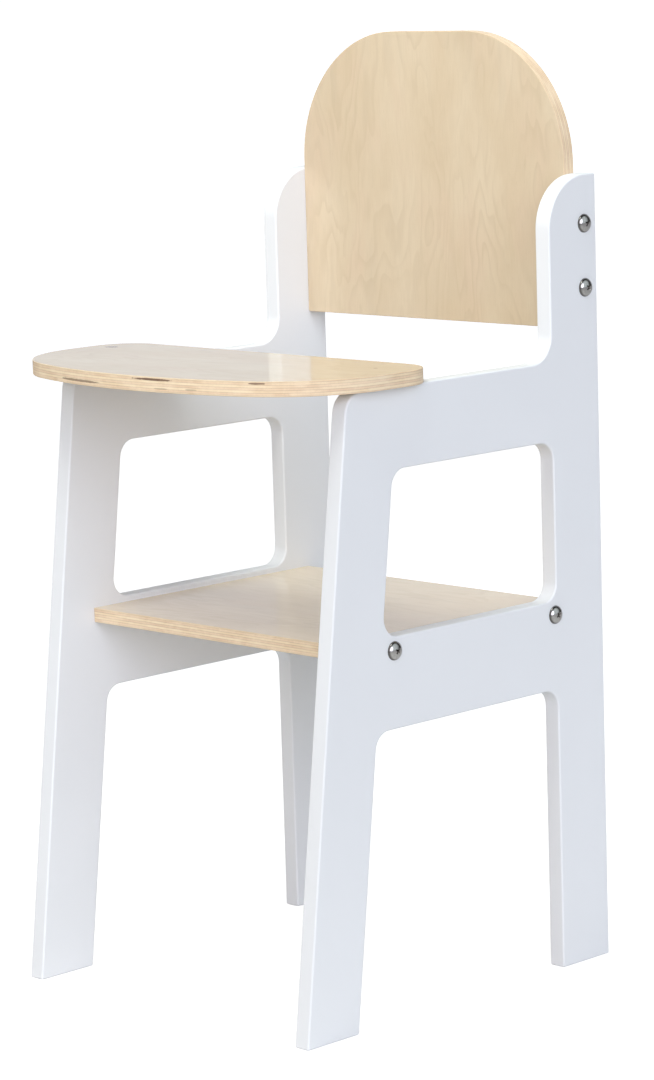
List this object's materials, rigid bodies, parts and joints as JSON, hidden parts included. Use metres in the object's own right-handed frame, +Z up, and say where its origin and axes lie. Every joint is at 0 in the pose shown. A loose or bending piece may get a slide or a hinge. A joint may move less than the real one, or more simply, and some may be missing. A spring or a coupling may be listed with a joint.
{
  "type": "doll's high chair",
  "caption": "Doll's high chair: cut-out white side panels joined by a plywood seat and arched back board, with a bowed plywood tray that lifts off its dowels.",
  "frame": {"origin": "on the floor, in the middle of the outer box, under the middle of the tray's width", "axes": "+X to the right as seen from the front, -Y to the front, where the tray is, +Z up; left and right in names are as seen from the front"},
  "size_m": [0.287, 0.2904, 0.606],
  "materials": {
    "painted_mdf": "satin white paint with eased edges",
    "birch_plywood": "clear satin lacquer on birch veneer, layered edges left open",
    "chrome_screw": "bright chrome plating, cross recess",
    "beech_dowel": "bare turned beech"
  },
  "bodies": {
    "chair": {"side_panel_left": "painted_mdf", "side_panel_right": "painted_mdf", "seat_board": "birch_plywood", "back_board": "birch_plywood", "seat_screw_left_front": "chrome_screw", "seat_screw_left_rear": "chrome_screw", "seat_screw_right_front": "chrome_screw", "seat_screw_right_rear": "chrome_screw", "back_screw_left_lower": "chrome_screw", "back_screw_left_upper": "chrome_screw", "back_screw_right_lower": "chrome_screw", "back_screw_right_upper": "chrome_screw", "tray_dowel_left_front": "beech_dowel", "tray_dowel_left_rear": "beech_dowel", "tray_dowel_right_front": "beech_dowel", "tray_dowel_right_rear": "beech_dowel"},
    "tray": {"tray_board": "birch_plywood"}
  },
  "joints": [
    {"name": "tray_lift", "type": "slide", "parent": "chair", "child": "tray", "axis": [0, 0, 1], "range_m": [0, 0.05]}
  ]
}
